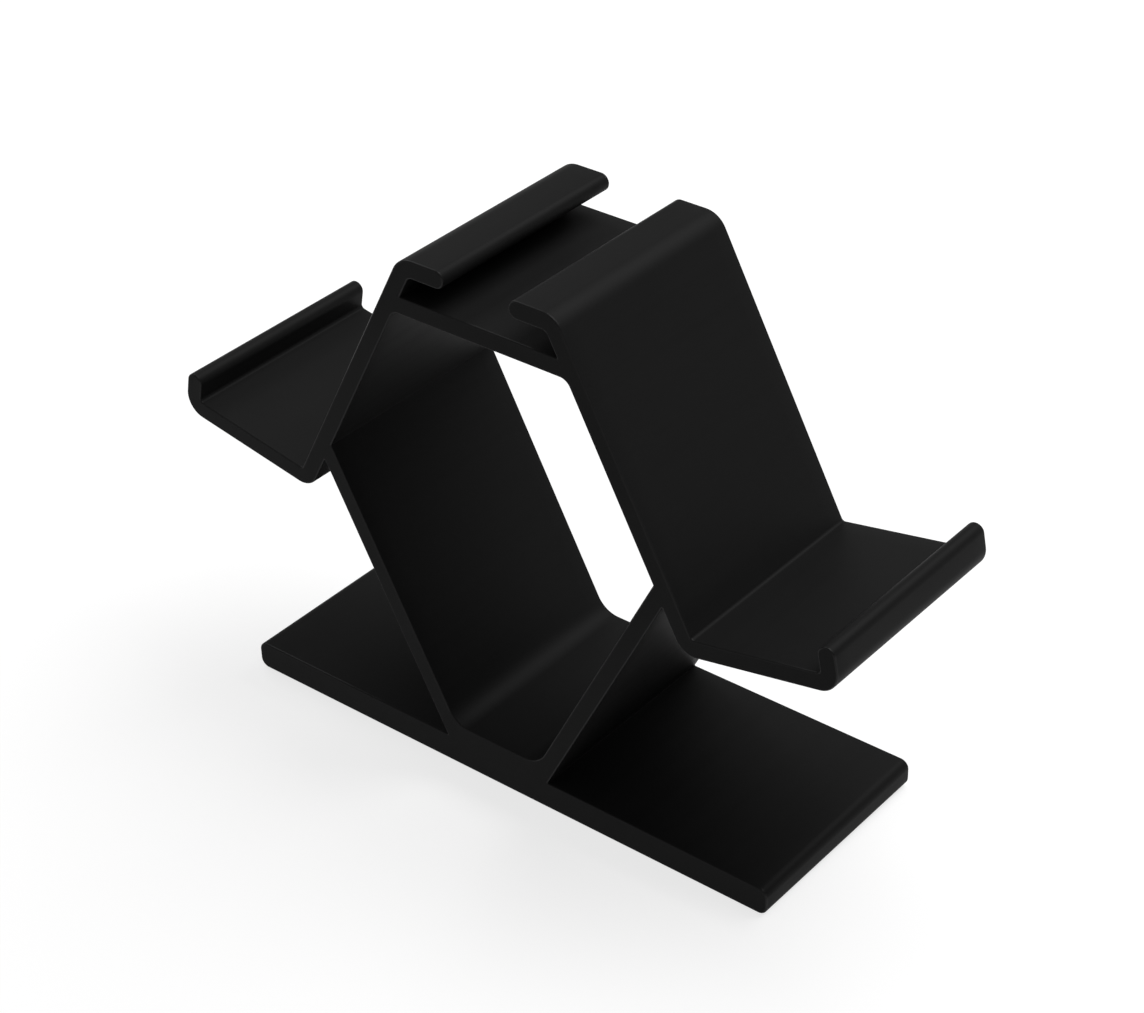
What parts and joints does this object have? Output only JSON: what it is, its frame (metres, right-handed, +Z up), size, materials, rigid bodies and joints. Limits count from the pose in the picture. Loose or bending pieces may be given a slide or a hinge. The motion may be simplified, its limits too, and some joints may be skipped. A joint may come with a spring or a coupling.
{
  "type": "game controller stand",
  "caption": "Free-standing plastic stand that props game controllers back to back in leaning cradles with lips and hooked tops, on a hollow ring and a flat base plate.",
  "frame": {"origin": "middle of the base plate's underside, on the surface that the stand rests on", "axes": "+X across the stand's width, +Y towards the rear cradle, +Z up"},
  "size_m": [0.055, 0.1794, 0.1278],
  "materials": {
    "black_plastic": "satin"
  },
  "bodies": {
    "root": {"stand": "black_plastic"}
  },
  "joints": []
}
